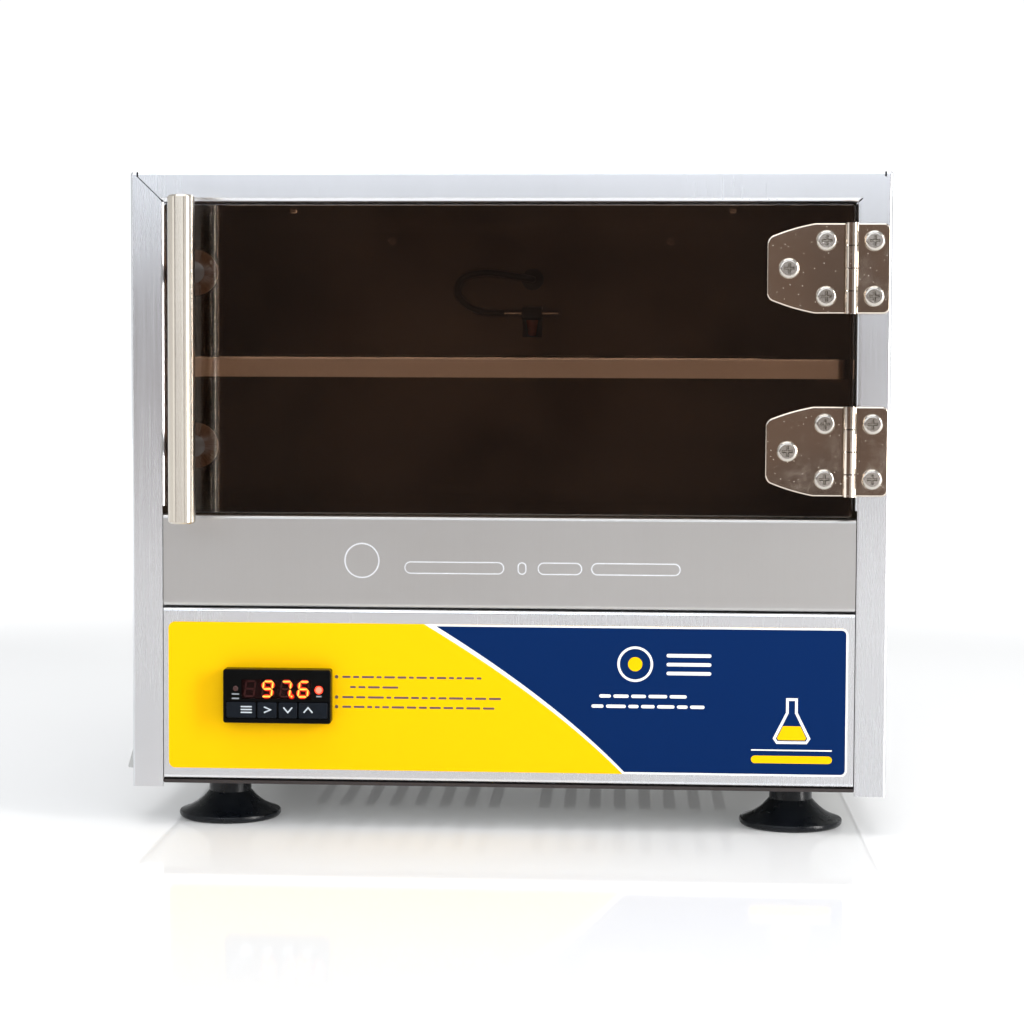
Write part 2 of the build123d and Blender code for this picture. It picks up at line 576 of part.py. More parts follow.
with BuildPart() as clip_screw:
    pan_head(1.0, CHAMBER_Y1 - 2, 228.0, -1, head_r=2.6, head_h=1.6, shank_r=LINER_SCREW_R,
             shank_l=7)
keep(clip_screw, "clip_screw")

with BuildPart() as limit_sensor:
    with BuildSketch(plan(233.2)):
        with Locations((1.0, PROBE_Y)):
            Circle(3.4)
    with BuildSketch(plan(224.4)):
        with Locations((1.0, PROBE_Y)):
            Circle(2.0)
    loft()
    fillet(limit_sensor.faces().sort_by(Axis.Z)[0].edges(), 1.2)
keep(limit_sensor, "limit_sensor")

# ---- door ----------------------------------------------------------------------------------
with BuildPart() as door_glass:
    block(-GLASS_HALF, GLASS_HALF, 0, GLASS_T, GLASS_Z0, GLASS_Z1)
    fillet(door_glass.edges().filter_by(Axis.Y), 2.0)
    chamfer(door_glass.faces().sort_by(Axis.Y)[0].edges(), 0.5)
    chamfer(door_glass.faces().sort_by(Axis.Y)[-1].edges(), 0.5)
    for z in STANDOFF_Z:
        rod_y(BAR_X, z, HANDLE_SCREW_R + 0.1, -1, GLASS_T + 1, Mode.SUBTRACT)
    for middle in HINGES.values():
        for x, dz in DOOR_SCREWS:
            rod_y(x, middle + dz, SCREW_R + 0.1, -1, GLASS_T + 1, Mode.SUBTRACT)
keep(door_glass, "door_glass")

SEAL_Y0 = GLASS_T + 0.6
with BuildPart() as door_gasket:
    with BuildSketch(upright(LINER_FRONT)):
        rect(-OPENING_X + 0.4, OPENING_X - 0.4, NOTCH_Z1, OPENING_Z1 - 0.2)
        rect(-CHAMBER_X - 0.1, CHAMBER_X + 0.1, NOTCH_Z1 - 2, CHAMBER_Z1 + 0.2, Mode.SUBTRACT)
    extrude(amount=LINER_FRONT - SEAL_Y0)
keep(door_gasket, "door_gasket")

KNUCKLES = ((-20.0, -10.25), (-9.75, -0.25), (0.25, 9.75), (10.25, 20.0))


def clear_of_knuckle(middle, low, high):
    """Room in one leaf for the other leaf's knuckle and the space it turns in."""
    rod_z(PIN_X, PIN_Y, BARREL_R + RUN, middle + low - 0.2, middle + high + 0.2, Mode.SUBTRACT)


LEAF_RIM_R = 0.7


def outer_rim(leaf):
    """The front edges of a leaf, apart from the one beside its pin."""
    front_edges = leaf.faces().sort_by(Axis.Y)[0].edges()
    return front_edges.filter_by(lambda e: abs(e.center().X - CENTRE_X - PIN_X) > 1)


for hinge_name, middle in HINGES.items():
    with BuildPart() as door_leaf:
        with BuildSketch(upright(0)) as leaf_outline:
            with BuildLine():
                Line((PIN_X - 0.6, middle - HINGE_HALF), (136.0, middle - HINGE_HALF))
                ThreePointArc((136.0, middle - HINGE_HALF), (127.0, middle - 17.9),
                              (118.0, middle - 14.8))
                ThreePointArc((118.0, middle - 14.8), (115.8, middle - 13.3),
                              (115.0, middle - 10.8))
                Line((115.0, middle - 10.8), (115.0, middle + 10.8))
                ThreePointArc((115.0, middle + 10.8), (115.8, middle + 13.3),
                              (118.0, middle + 14.8))
                ThreePointArc((118.0, middle + 14.8), (127.0, middle + 17.9),
                              (136.0, middle + HINGE_HALF))
                Line((136.0, middle + HINGE_HALF), (PIN_X - 0.6, middle + HINGE_HALF))
                Line((PIN_X - 0.6, middle + HINGE_HALF), (PIN_X - 0.6, middle - HINGE_HALF))
            make_face()
        extrude(amount=LEAF_T)
        fillet(outer_rim(door_leaf), LEAF_RIM_R)
        for low, high in (KNUCKLES[0], KNUCKLES[2]):
            rod_z(PIN_X, PIN_Y, BARREL_R, middle + low, middle + high)
        for low, high in (KNUCKLES[1], KNUCKLES[3]):
            clear_of_knuckle(middle, low, high)
        rod_z(PIN_X, PIN_Y, PIN_R + 0.05, middle - 21, middle + 21, Mode.SUBTRACT)
        for x, dz in DOOR_SCREWS:
            rod_y(x, middle + dz, SCREW_R + 0.1, -LEAF_T - 1, 1, Mode.SUBTRACT)
    keep(door_leaf, f"hinge_door_leaf_{hinge_name}")

    with BuildPart() as frame_leaf:
        block(PIN_X + 0.6, 169.1, -LEAF_T, 0, middle - HINGE_HALF, middle + HINGE_HALF)
        fillet(frame_leaf.edges().filter_by(Axis.Y).group_by(Axis.X)[-1], 3.0)
        fillet(outer_rim(frame_leaf), LEAF_RIM_R)
        for low, high in (KNUCKLES[1], KNUCKLES[3]):
            rod_z(PIN_X, PIN_Y, BARREL_R, middle + low, middle + high)
        for low, high in (KNUCKLES[0], KNUCKLES[2]):
            clear_of_knuckle(middle, low, high)
        rod_z(PIN_X, PIN_Y, PIN_R, middle - 21, middle + 21, Mode.SUBTRACT)
        for sign in (-1, 1):
            rod_y(FRAME_SCREW_X, middle + sign * FRAME_SCREW_DZ, SCREW_R + 0.1,
                  -LEAF_T - 1, 1, Mode.SUBTRACT)
    keep(frame_leaf, f"hinge_frame_leaf_{hinge_name}")

with BuildPart() as hinge_pins:
    for middle in HINGES.values():
        rod_z(PIN_X, PIN_Y, PIN_R, middle - HINGE_HALF, middle + HINGE_HALF)
keep(hinge_pins, "hinge_pins")

with BuildPart() as hinge_frame_screws:
    for middle in HINGES.values():
        for sign in (-1, 1):
            pan_head(FRAME_SCREW_X, -LEAF_T, middle + sign * FRAME_SCREW_DZ, -1)
keep(hinge_frame_screws, "hinge_frame_screws")

NUT_T = 3.2
with BuildPart() as hinge_door_screws:
    for middle in HINGES.values():
        for x, dz in DOOR_SCREWS:
            pan_head(x, -LEAF_T, middle + dz, -1, shank_l=LEAF_T + GLASS_T + NUT_T)
keep(hinge_door_screws, "hinge_door_screws")

with BuildPart() as hinge_door_nuts:
    for middle in HINGES.values():
        for x, dz in DOOR_SCREWS:
            with BuildSketch(upright(GLASS_T + NUT_T)):
                with Locations((x, middle + dz)):
                    RegularPolygon(4.0, 6)
                    Circle(SCREW_R, mode=Mode.SUBTRACT)
            extrude(amount=NUT_T)
keep(hinge_door_nuts, "hinge_door_nuts")

# ---- door handle ---------------------------------------------------------------------------
WASHER_T = 1.2
with BuildPart() as handle_bar:
    rod_z(BAR_X, BAR_Y, BAR_R, BAR_Z0, BAR_Z1)
    chamfer(handle_bar.edges(), 0.8)
keep(handle_bar, "handle_bar")

with BuildPart() as handle_standoffs:
    for z in STANDOFF_Z:
        rod_y(BAR_X, z, STANDOFF_R, BAR_Y + 2, 0)
    rod_z(BAR_X, BAR_Y, BAR_R, BAR_Z0, BAR_Z1, Mode.SUBTRACT)
    for z in STANDOFF_Z:
        rod_y(BAR_X, z, HANDLE_SCREW_R, -12, 1, Mode.SUBTRACT)
keep(handle_standoffs, "handle_standoffs")

with BuildPart() as handle_washers:
    for z in STANDOFF_Z:
        rod_y(BAR_X, z, 10.3, GLASS_T, GLASS_T + WASHER_T)
        rod_y(BAR_X, z, HANDLE_SCREW_R + 0.1, 0, 20, Mode.SUBTRACT)
keep(handle_washers, "handle_washers")

with BuildPart() as handle_screws:
    for z in STANDOFF_Z:
        pan_head(BAR_X, GLASS_T + WASHER_T, z, 1, shank_r=HANDLE_SCREW_R,
                 shank_l=GLASS_T + WASHER_T + 12)
keep(handle_screws, "handle_screws")

# ---- power switch in the left wall ----------------------------------------------------------
WELL_HALF_Z = 11.7
WELL_HALF_Y = 8.3
with BuildPart() as power_switch:
    block(-HALF - SWITCH_OUT, -HALF, SWITCH_Y - 10.5, SWITCH_Y + 10.5,
          SWITCH_Z - 13.5, SWITCH_Z + 13.5)
    fillet(power_switch.edges().filter_by(Axis.X), 2.0)
    fillet(power_switch.faces().sort_by(Axis.X)[0].edges(), 0.8)
    block(-HALF, -HALF + 20, SWITCH_Y - 9.2, SWITCH_Y + 9.2, SWITCH_Z - 12.5, SWITCH_Z + 12.5)
    block(-HALF - 10, -HALF + 8, SWITCH_Y - WELL_HALF_Y, SWITCH_Y + WELL_HALF_Y,
          SWITCH_Z - WELL_HALF_Z, SWITCH_Z + WELL_HALF_Z, Mode.SUBTRACT)
keep(power_switch, "power_switch")

ROCKER_PIVOT = Vector(-HALF + 1.5, SWITCH_Z, 0)
ROCKER_HALF_Y = 7.9
ROCKER_PIN_R = 1.2
ROCKER_PIN_HALF = 8.2
ROCKER_OUTLINE = ((-5.6, 11.0), (1.5, 10.0), (3.5, 0), (1.5, -10.0), (-5.6, -11.0), (-3.9, 0))
with BuildPart() as switch_rocker:
    with BuildSketch(upright(SWITCH_Y + ROCKER_HALF_Y)):
        with BuildLine():
            Polyline(*[ROCKER_PIVOT + Vector(x, z, 0).rotate(Axis.Z, -ROCKER_TILT)
                       for x, z in ROCKER_OUTLINE], close=True)
        make_face()
    extrude(amount=2 * ROCKER_HALF_Y)
    fillet(switch_rocker.edges().filter_by(Axis.Y).group_by(Axis.X)[0], 0.8)
    rod_y(ROCKER_PIVOT.X, SWITCH_Z, ROCKER_PIN_R, SWITCH_Y - ROCKER_PIN_HALF,
          SWITCH_Y + ROCKER_PIN_HALF)
keep(switch_rocker, "switch_rocker")

# ---- mains inlet, fuse and inner electrics --------------------------------------------------
with BuildPart() as power_inlet:
    block(INLET_X - 25, INLET_X + 25, DEPTH, DEPTH + 3, INLET_Z - 11.3, INLET_Z + 11.3)
    fillet(power_inlet.edges().filter_by(Axis.Y), 3.0)
    block(INLET_X - 13.5, INLET_X + 13.5, DEPTH - 20, DEPTH, INLET_Z - 9.9, INLET_Z + 9.9)
    with BuildSketch(upright(DEPTH + 4)):
        with Locations((INLET_X, INLET_Z)):
            RectangleRounded(24.0, 16.4, 2.0)
    extrude(amount=19, mode=Mode.SUBTRACT)
    for side in (-1, 1):
        rod_y(INLET_X + side * 20.0, INLET_Z, 1.75, DEPTH - 1, DEPTH + 4, Mode.SUBTRACT)
keep(power_inlet, "power_inlet")

with BuildPart() as inlet_pins:
    for x, z in ((-7.0, -2.0), (0.0, 2.0), (7.0, -2.0)):
        block(INLET_X + x - 1, INLET_X + x + 1, DEPTH - 15, DEPTH - 1,
              INLET_Z + z - 2, INLET_Z + z + 2)
keep(inlet_pins, "inlet_pins")

with BuildPart() as inlet_screws:
    for side in (-1, 1):
        pan_head(INLET_X + side * 20.0, DEPTH + 3, INLET_Z, 1, head_r=3.0, head_h=1.8,
                 shank_r=1.6, shank_l=9)
keep(inlet_screws, "inlet_screws")

with BuildPart() as fuse_holder:
    rod_y(FUSE_X, INLET_Z, 6.0, DEPTH - 28, DEPTH)
    rod_y(FUSE_X, INLET_Z, 9.0, DEPTH, DEPTH + 3)
    rod_y(FUSE_X, INLET_Z, 7.0, DEPTH + 3, DEPTH + FUSE_OUT)
    fillet(fuse_holder.faces().sort_by(Axis.Y)[-1].edges(), 1.0)
    block(FUSE_X - 5, FUSE_X + 5, DEPTH + FUSE_OUT - 1.5, DEPTH + FUSE_OUT + 1,
          INLET_Z - 0.8, INLET_Z + 0.8, Mode.SUBTRACT)
keep(fuse_holder, "fuse_holder")

BASE_TOP = FLOOR_Z + PAN_T
with BuildPart() as heater_relay:
    block(-30, 28, 120, 165, BASE_TOP, BASE_TOP + 28)
    block(-22, 20, 120, 165, BASE_TOP + 20, BASE_TOP + 30, Mode.SUBTRACT)
keep(heater_relay, "heater_relay")

with BuildPart() as terminal_block:
    block(60, 130, 150, 172, BASE_TOP, BASE_TOP + 10)
    with BuildSketch(plan(BASE_TOP + 10)):
        with Locations((95, 161)):
            with GridLocations(11, 1, 6, 1):
                Rectangle(9, 18)
    extrude(amount=8)
keep(terminal_block, "terminal_block")


# inner leads: each is straight runs joined by round bends
LEADS = {
    "inlet_to_terminals": [(105, 279.8, 62), (105, 262, 62), (105, 236, 50), (104, 208, 41),
                           (103, 190, 35), (103, 172.2, 35)],
    "terminals_to_relay": [(64, 149.8, 35), (64, 132, 35), (46, 130, 35), (28.2, 130, 35)],
    "relay_to_controller": [(-30.2, 142, 35), (-50, 142, 35), (-74, 134, 46),
                            (-96, 122, 57), (CONTROLLER_X, 108, 60.8),
                            (CONTROLLER_X, 92.2, 60.8)],
}
LEAD_R = 2.6
with BuildPart() as inner_wiring:
    for route in LEADS.values():
        with BuildLine() as lead_path:
            FilletPolyline(*[point(*p) for p in route], radius=[0.9 * r for r in bend_radii(route)])
        with BuildSketch(Plane(origin=point(*route[0]), z_dir=lead_path.wires()[0] % 0)):
            Circle(LEAD_R)
        sweep(path=lead_path.wires()[0])
keep(inner_wiring, "inner_wiring")
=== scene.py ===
"""The looks of a bench-top laboratory incubator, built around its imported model."""
import math
import random

import bmesh
import bpy
from mathutils import Matrix, Vector


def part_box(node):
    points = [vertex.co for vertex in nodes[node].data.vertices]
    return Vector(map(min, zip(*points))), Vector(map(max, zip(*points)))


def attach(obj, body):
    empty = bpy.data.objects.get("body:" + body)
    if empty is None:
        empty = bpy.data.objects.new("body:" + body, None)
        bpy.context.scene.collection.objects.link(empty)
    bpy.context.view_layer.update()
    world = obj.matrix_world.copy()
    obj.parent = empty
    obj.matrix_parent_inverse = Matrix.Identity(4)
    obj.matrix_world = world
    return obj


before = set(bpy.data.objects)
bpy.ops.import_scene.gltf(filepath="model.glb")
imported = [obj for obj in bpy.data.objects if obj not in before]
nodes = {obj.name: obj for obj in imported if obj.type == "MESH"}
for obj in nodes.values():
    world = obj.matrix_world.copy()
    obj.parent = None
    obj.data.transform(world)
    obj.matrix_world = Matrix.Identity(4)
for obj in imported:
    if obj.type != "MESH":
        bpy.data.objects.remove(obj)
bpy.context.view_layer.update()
random.seed(7)

MM = 0.001
scene = bpy.context.scene

# ---- places, taken from the frame ----------------------------------------------------------
wrapper_low, wrapper_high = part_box("outer_wrapper")
film_low, film_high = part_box("graphic_overlay")
housing_low, housing_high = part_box("controller_housing")
window_low, window_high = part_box("display_window")
lip_low, lip_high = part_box("front_lip_panel")
MIDDLE_X = (wrapper_low.x + wrapper_high.x) / 2
FRONT_Y = wrapper_low.y


# ---- shader kit ----------------------------------------------------------------------------
class Wire:
    """A socket in a material's tree. Sums written on wires become Math nodes."""

    def __init__(self, tree, socket=None):
        self.tree = tree
        self.socket = socket

    def node(self, kind, settings=None, inputs=None, output=0):
        """Adds a node: its settings first, then its inputs' values or wires."""
        made = self.tree.nodes.new(kind)
        for name, value in (settings or {}).items():
            setattr(made, name, value)
        for name, value in (inputs or {}).items():
            if isinstance(value, Wire):
                self.tree.links.new(value.socket, made.inputs[name])
            else:
                made.inputs[name].default_value = value
        return Wire(self.tree, made.outputs[output])

    def maths(self, operation, *terms):
        return self.node("ShaderNodeMath", {"operation": operation}, dict(enumerate(terms)))

    def __add__(self, other):
        return self.maths("ADD", self, other)

    def __radd__(self, other):
        return self.maths("ADD", other, self)

    def __sub__(self, other):
        return self.maths("SUBTRACT", self, other)

    def __rsub__(self, other):
        return self.maths("SUBTRACT", other, self)

    def __mul__(self, other):
        return self.maths("MULTIPLY", self, other)

    def __rmul__(self, other):
        return self.maths("MULTIPLY", other, self)

    def __abs__(self):
        return self.maths("ABSOLUTE", self)

    def above(self, limit, softness=0.02):
        """1 where the value is over the limit, 0 where it is under, and soft between."""
        return self.node("ShaderNodeMapRange", {"interpolation_type": "SMOOTHSTEP"},
                         {"Value": self, "From Min": limit - softness,
                          "From Max": limit + softness})

    def part(self, axis):
        return self.node("ShaderNodeSeparateXYZ", {}, {0: self}, axis)

    def scaled(self, *factors):
        return self.node("ShaderNodeVectorMath", {"operation": "MULTIPLY"},
                         {0: self, 1: factors})

    def noise(self, *factors, detail=2.0, rough=0.5):
        """Noise whose grain per metre is given along X, Y and Z."""
        return self.node("ShaderNodeTexNoise", {},
                         {"Vector": self.scaled(*factors), "Scale": 1.0, "Detail": detail,
                          "Roughness": rough})

    def specks(self, per_metre, size):
        """Small round spots, 1 inside and 0 outside."""
        cells = self.node("ShaderNodeTexVoronoi", {},
                          {"Vector": self.scaled(per_metre, per_metre, per_metre), "Scale": 1.0})
        return 1.0 - cells.above(size, size * 0.4)

    def mix(self, low, high):
        """A colour between low and high, by this value."""
        return self.node("ShaderNodeMix", {"data_type": "RGBA"}, {0: self, 6: low, 7: high}, 2)

    def bump(self, strength, distance):
        return self.node("ShaderNodeBump", {},
                         {"Strength": strength, "Distance": distance, "Height": self})


def rgb(red, green, blue):
    """A colour from its usual 0 to 255 values."""
    def linear(value):
        value /= 255
        return value / 12.92 if value <= 0.04045 else ((value + 0.055) / 1.055) ** 2.4
    return (linear(red), linear(green), linear(blue), 1.0)


def grey(value):
    return (value, value, value, 1.0)


def shaded(colour, factor):
    """The same colour made darker or lighter."""
    return tuple(min(1.0, c * factor) for c in colour[:3]) + (1.0,)


def material(name, fixed, varying):
    """A Principled material. varying(place, root) returns the sockets that wires feed."""
    made = bpy.data.materials.new(name)
    made.use_nodes = True
    tree = made.node_tree
    tree.nodes.clear()
    root = Wire(tree)
    place = root.node("ShaderNodeTexCoord", {}, {}, "Object")
    sockets = dict(fixed)
    sockets.update(varying(place, root))
    surface = root.node("ShaderNodeBsdfPrincipled", {}, sockets)
    shown = tree.nodes.new("ShaderNodeOutputMaterial")
    tree.links.new(surface.socket, shown.inputs["Surface"])
    return made


# ---- finishes ------------------------------------------------------------------------------
def brushed(name, colour, rough, streak=0.022, wrapped=False, tilt=0.03, crest=0.0):
    """Brushed stainless sheet with an upright grain. Where asked, the grain turns to run across
    on the top, and folds and tops are rubbed smoother by the crest's amount."""
    def varying(place, root):
        grain = place.noise(1500, 1500, 22, detail=3, rough=0.6)
        broad = place.noise(170, 170, 5, detail=2)
        upward = root.node("ShaderNodeNewGeometry", {}, {}, "Normal").part(2)
        if wrapped:
            flat = abs(upward).above(0.7)
            across = place.noise(22, 1500, 1500, detail=3, rough=0.6)
            grain = grain * (1.0 - flat) + across * flat
        cloud = place.noise(9, 9, 9, detail=2)
        shade = (grain - 0.5) * streak * 3.0 + (broad - 0.5) * streak + (cloud - 0.5) * 0.06
        tone = (0.5 + shade * 2.0).mix(shaded(colour, 0.86), shaded(colour, 1.12))
        rubbed = upward.above(0.30, 0.20) * crest if crest else 0.0
        return {"Base Color": tone,
                "Roughness": rough - rubbed + (grain - 0.5) * 0.07 + (cloud - 0.5) * 0.08,
                "Normal": grain.bump(tilt, 0.00005)}
    return material(name, {"Metallic": 1.0}, varying)


def turned(name, colour, rough, stretch=0.0, metallic=1.0):
    """Satin steel, polished around its axis. The stretch draws highlights out along it."""
    def varying(place, root):
        rings = place.noise(12, 12, 1700, detail=2, rough=0.6)
        cloud = place.noise(30, 30, 30)
        return {"Base Color": (cloud * 0.7 + rings * 0.3).mix(shaded(colour, 0.92), colour),
                "Roughness": rough + (rings - 0.5) * 0.04 + (cloud - 0.5) * 0.03,
                "Normal": rings.bump(0.03, 0.00004)}
    return material(name, {"Metallic": metallic, "Anisotropic": stretch,
                           "Anisotropic Rotation": 0.25}, varying)


def polished(name, colour, rough=0.07, haze=0.0):
    """Polished metal with faint rub marks, a few fine specks and, where asked, hazy smears."""
    def varying(place, root):
        rub = place.noise(60, 60, 420, detail=4, rough=0.65)
        cloud = place.noise(38, 38, 38, detail=2)
        dust = place.specks(420, 0.09)
        smear = place.noise(70, 70, 45, detail=4, rough=0.7).above(0.60, 0.14) * haze
        return {"Base Color": (cloud * 0.7 + dust * 0.5).mix(shaded(colour, 0.88), colour),
                "Roughness": rough + (rub - 0.35) * 0.08 + dust * 0.25 + smear,
                "Normal": rub.bump(0.05, 0.00004)}
    return material(name, {"Metallic": 1.0}, varying)


def moulded(name, colour, rough, grain=2600, depth=0.00003, mottle=0.3, specular=0.5,
            uneven=0.3):
    """Moulded plastic or rubber: a fine pebble and slightly uneven gloss."""
    def varying(place, root):
        pebble = place.noise(grain, grain, grain, detail=2)
        cloud = place.noise(75, 75, 75, detail=3, rough=0.6)
        return {"Base Color": cloud.mix(shaded(colour, 1 - mottle), shaded(colour, 1 + mottle)),
                "Roughness": rough + (cloud - 0.5) * uneven + (pebble - 0.5) * 0.10,
                "Normal": pebble.bump(0.35, depth)}
    return material(name, {"Specular IOR Level": specular}, varying)


def ribbed_keys():
    """Slate keypad plastic with fine level ribs."""
    def varying(place, root):
        rib = place.part(2).maths("SINE", place.part(2) * (2 * math.pi / 0.00045))
        cloud = place.noise(300, 300, 300)
        return {"Base Color": (rib * 0.2 + cloud * 0.8).mix(rgb(8, 12, 18), rgb(20, 27, 36)),
                "Roughness": 0.42 + rib * 0.05 + (cloud - 0.5) * 0.1,
                "Normal": rib.bump(0.3, 0.00003)}
    return material("slate_keypad", {"Specular IOR Level": 0.12}, varying)


def printed_film(name, colour):
    """Screen-printed polycarbonate film: a fine velvet texture over flat ink."""
    def varying(place, root):
        velvet = place.noise(3200, 3200, 3200, detail=1)
        cloud = place.noise(14, 14, 14, detail=2)
        return {"Base Color": (cloud * 0.6 + velvet * 0.4).mix(shaded(colour, 0.94), colour),
                "Roughness": 0.36 + (velvet - 0.5) * 0.12 + (cloud - 0.5) * 0.06,
                "Normal": velvet.bump(0.12, 0.00002)}
    return material(name, {"Specular IOR Level": 0.07}, varying)


def edged_pan():
    """Sheet that is dark and rough along its front 3 mm, and plain metal behind."""
    def varying(place, root):
        pebble = place.noise(1500, 1500, 1500, detail=3, rough=0.6)
        behind_edge = place.part(1).above(FRONT_Y + 3 * MM, 0.3 * MM)
        edge_tone = pebble.mix(grey(0.008), rgb(58, 46, 44))
        return {"Base Color": behind_edge.mix(edge_tone, pebble.mix(rgb(168, 170, 168), rgb(184, 186, 184))),
                "Metallic": behind_edge,
                "Roughness": 0.55 - behind_edge * 0.12 + (pebble - 0.5) * 0.3,
                "Normal": pebble.bump(0.4, 0.00010)}
    return material("edged_base_pan", {}, varying)


def glow(name, colour, strength, core):
    """A lit mark whose middle is a little hotter than its rim."""
    def varying(place, root):
        flicker = place.noise(900, 900, 900)
        return {"Base Color": flicker.mix(colour, core),
                "Emission Color": flicker.mix(colour, core)}
    return material(name, {"Emission Strength": strength, "Roughness": 0.4}, varying)


def signal_lamps():
    """The left lamp is dark and the right one is lit."""
    def varying(place, root):
        lit = place.part(0).above((housing_low.x + housing_high.x) / 2, MM)
        ripple = place.noise(700, 700, 700)
        lens = ripple.mix(rgb(52, 22, 20), rgb(68, 32, 28))
        return {"Base Color": lens,
                "Emission Color": lit.mix((0, 0, 0, 1), ripple.mix((1.0, 0.17, 0.10, 1),
                                                                  (1.0, 0.25, 0.16, 1)))}
    return material("signal_lamps", {"Emission Strength": 1.9, "Roughness": 0.25}, varying)


def tinted_pane():
    """Bronze glass that lets lamplight through to the chamber."""
    made = bpy.data.materials.new("bronze_glass")
    made.use_nodes = True
    tree = made.node_tree
    tree.nodes.clear()
    root = Wire(tree)
    place = root.node("ShaderNodeTexCoord", {}, {}, "Object")
    smear = place.noise(22, 22, 50, detail=4, rough=0.65).above(0.62, 0.10)
    glass = root.node("ShaderNodeBsdfPrincipled", {}, {
        "Base Color": BRONZE, "IOR": 1.5, "Transmission Weight": 1.0,
        "Roughness": smear * 0.02})
    through = root.node("ShaderNodeBsdfTransparent", {}, {"Color": BRONZE})
    lamp = root.node("ShaderNodeLightPath", {}, {}, "Is Shadow Ray")
    both = root.node("ShaderNodeMixShader", {}, {0: lamp, 1: glass, 2: through})
    shown = tree.nodes.new("ShaderNodeOutputMaterial")
    tree.links.new(both.socket, shown.inputs["Surface"])
    return made


def display_lens():
    def varying(place, root):
        cloud = place.noise(120, 120, 120)
        return {"Base Color": cloud.mix(rgb(20, 4, 4), rgb(40, 8, 6)),
                "Roughness": 0.10 + (cloud - 0.5) * 0.08}
    return material("display_lens", {"Alpha": 0.22, "Specular IOR Level": 0.1}, varying)


def mineral_board():
    def varying(place, root):
        fibre = place.noise(500, 90, 500, detail=4, rough=0.7)
        return {"Base Color": fibre.mix(rgb(84, 78, 66), rgb(128, 120, 102)),
                "Roughness": 0.85 + (fibre - 0.5) * 0.2,
                "Normal": fibre.bump(0.8, 0.0005)}
    return material("insulation_board", {}, varying)


def oxidised():
    def varying(place, root):
        scale = place.noise(140, 140, 140, detail=5, rough=0.7)
        return {"Base Color": scale.mix(rgb(60, 50, 46), rgb(120, 92, 72)),
                "Roughness": 0.5 + (scale - 0.5) * 0.4,
                "Metallic": 0.7 + (scale - 0.5) * 0.3,
                "Normal": scale.bump(0.3, 0.0001)}
    return material("oxidised_sheath", {}, varying)


BRONZE = (0.47, 0.36, 0.29, 1.0)
STEEL = rgb(219, 220, 223)
YELLOW = rgb(252, 197, 0)
NAVY = rgb(2, 36, 86)
WHITE = rgb(244, 244, 240)

SHEET = brushed("brushed_sheet", STEEL, 0.26, wrapped=True)
# painted shade: the lip panel is the wrapper's brushed stainless, given a darker colour for the
# shade it sits in
SHADED_LIP_SHEET = brushed("lip_sheet_painted_shade", rgb(190, 188, 186), 0.32)
SATIN = turned("satin_bar", rgb(208, 200, 188), 0.25, 0.97)
# painted shade: the standoffs get a darker steel colour than the bar, so that they and their
# reflection in the glass read dark
SHADED_STANDOFF = turned("satin_standoff", rgb(150, 148, 146), 0.34)
# painted light: the steel washers get a pale, partly non-metallic finish so that they read
# brighter behind the bronze glass
BRIGHTENED_WASHER = turned("satin_washer", rgb(226, 218, 208), 0.45, metallic=0.35)
# painted shade: the chamber's stainless walls get a dark brown colour for the dimness inside the
# closed chamber
SHADED_LINER = brushed("chamber_sheet_painted_shade", rgb(98, 88, 74), 0.24)
SHELF = brushed("shelf_sheet", rgb(222, 216, 206), 0.36, crest=0.24)
POLISHED = polished("polished_stainless", rgb(216, 204, 191), 0.05, haze=0.07)
PIN_STEEL = polished("pin_steel", rgb(64, 56, 50), 0.30)
SCREW = polished("screw_steel", rgb(196, 190, 182), 0.20)
SEAL = moulded("silicone_seal", grey(0.008), 0.5, specular=0.3)
RUBBER = moulded("foot_rubber", (0.003, 0.004, 0.006, 1), 0.30, grain=260, depth=0.0004,
                 mottle=0.7, specular=0.28, uneven=0.9)
BLACK = moulded("controller_plastic", grey(0.0025), 0.26, specular=0.05)
DARK_PLASTIC = moulded("electrical_plastic", grey(0.010), 0.42, specular=0.3)
PALE_PLASTIC = moulded("switch_plastic", rgb(196, 196, 194), 0.38, mottle=0.05)
NYLON = moulded("terminal_nylon", rgb(214, 208, 190), 0.45, mottle=0.06)
CABLE = moulded("cable_sheath", grey(0.006), 0.38, grain=1400, specular=0.3)
AMBER = moulded("amber_resin", rgb(214, 92, 26), 0.22, mottle=0.15)
PINS = polished("plated_brass", rgb(214, 196, 150), 0.18)
KEYPAD = ribbed_keys()
FILM_YELLOW = printed_film("film_yellow", YELLOW)
FILM_NAVY = printed_film("film_navy", NAVY)
FILM_WHITE = printed_film("film_white", WHITE)
FILM_GREY = printed_film("film_grey_ink", rgb(112, 88, 84))
KEY_INK = printed_film("key_ink", rgb(198, 206, 212))
CAPTION_INK = printed_film("caption_ink", rgb(150, 155, 160))
# painted shadow: near-black strips for the shade inside the open mitre joints
SEAM_SHADOW = moulded("seam_shadow", grey(0.006), 0.6, specular=0.1)
ETCH = brushed("etched_steel", rgb(232, 233, 236), 0.55, streak=0.02)
GHOST = moulded("unlit_segment", rgb(84, 22, 16), 0.4, mottle=0.1)
DISPLAY_BACK = moulded("display_back", rgb(24, 6, 6), 0.4, mottle=0.1, specular=0.1)
HALO = glow("lit_halo", (0.45, 0.003, 0.001, 1), 1.0, (0.60, 0.006, 0.002, 1))
LIT_RIM = glow("lit_red", (1.0, 0.012, 0.002, 1), 2.0, (1.0, 0.05, 0.006, 1))
LIT_CORE = glow("lit_core", (1.0, 0.30, 0.03, 1), 3.4, (1.0, 0.50, 0.08, 1))
GLASS = tinted_pane()
LENS = display_lens()
LAMPS = signal_lamps()
PAN = edged_pan()
BOARD = mineral_board()
SHEATH = oxidised()

